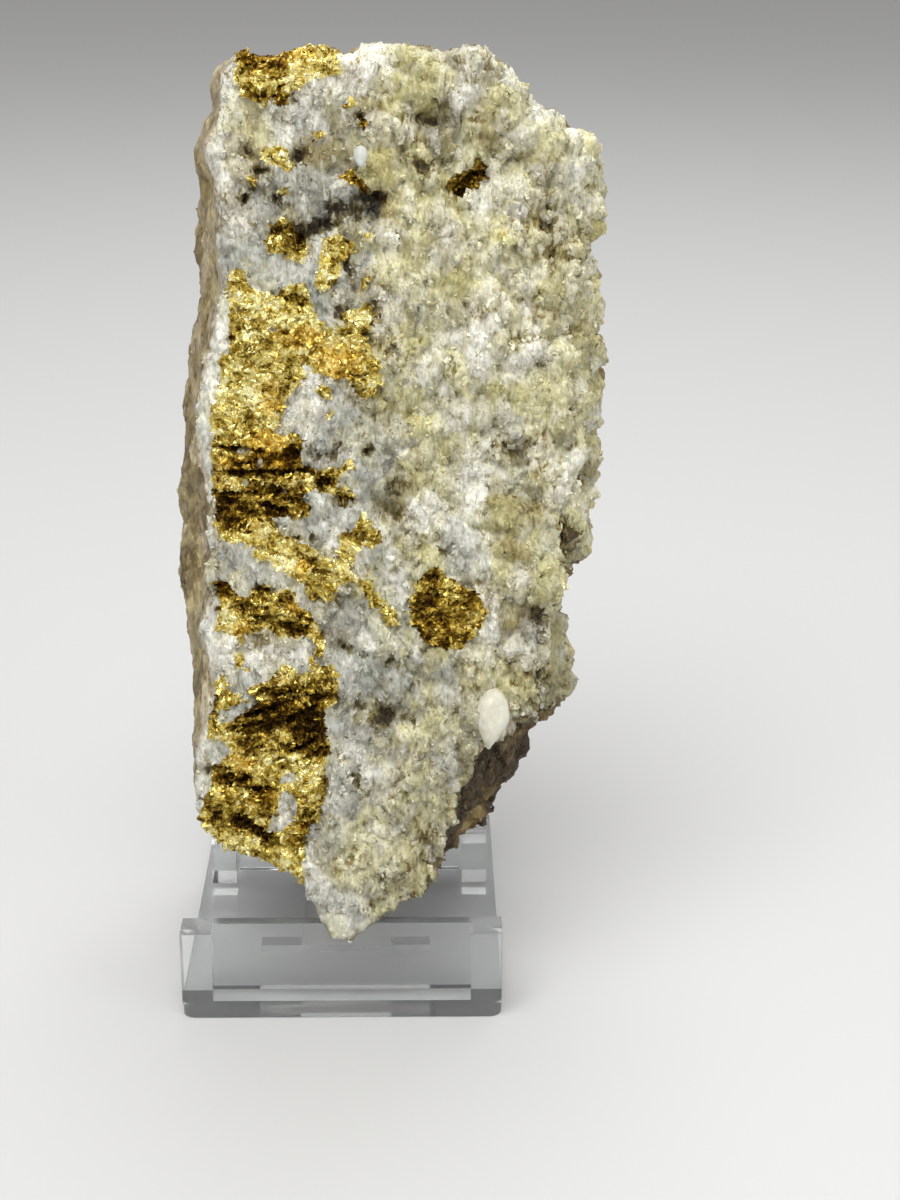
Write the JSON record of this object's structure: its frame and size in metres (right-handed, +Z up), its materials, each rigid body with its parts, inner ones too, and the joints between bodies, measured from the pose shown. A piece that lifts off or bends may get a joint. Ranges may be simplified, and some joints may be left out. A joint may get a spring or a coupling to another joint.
{
  "type": "mineral specimen on a clear stand",
  "caption": "Rough block of chalcopyrite grown in pale granular quartz, standing on its foot in a clear moulded easel stand with a low front lip.",
  "frame": {"origin": "on the stand's underside, on its middle line, midway between the two rear lugs", "axes": "+Z up, +X to the right seen from the front, -Y towards the front lip"},
  "size_m": [0.0663, 0.064, 0.1455],
  "materials": {
    "quartz_matrix": "rough granular quartz, pale grey-white to yellow-green, with brass-yellow metallic masses",
    "chalcopyrite": "brass-yellow metallic mineral, hackly and bright, with dark brown crevices",
    "clear_acrylic": "clear, polished, lightly scuffed"
  },
  "bodies": {
    "root": {"stone": "quartz_matrix", "stand_base": "clear_acrylic", "stand_back_rest": "clear_acrylic"}
  },
  "joints": []
}
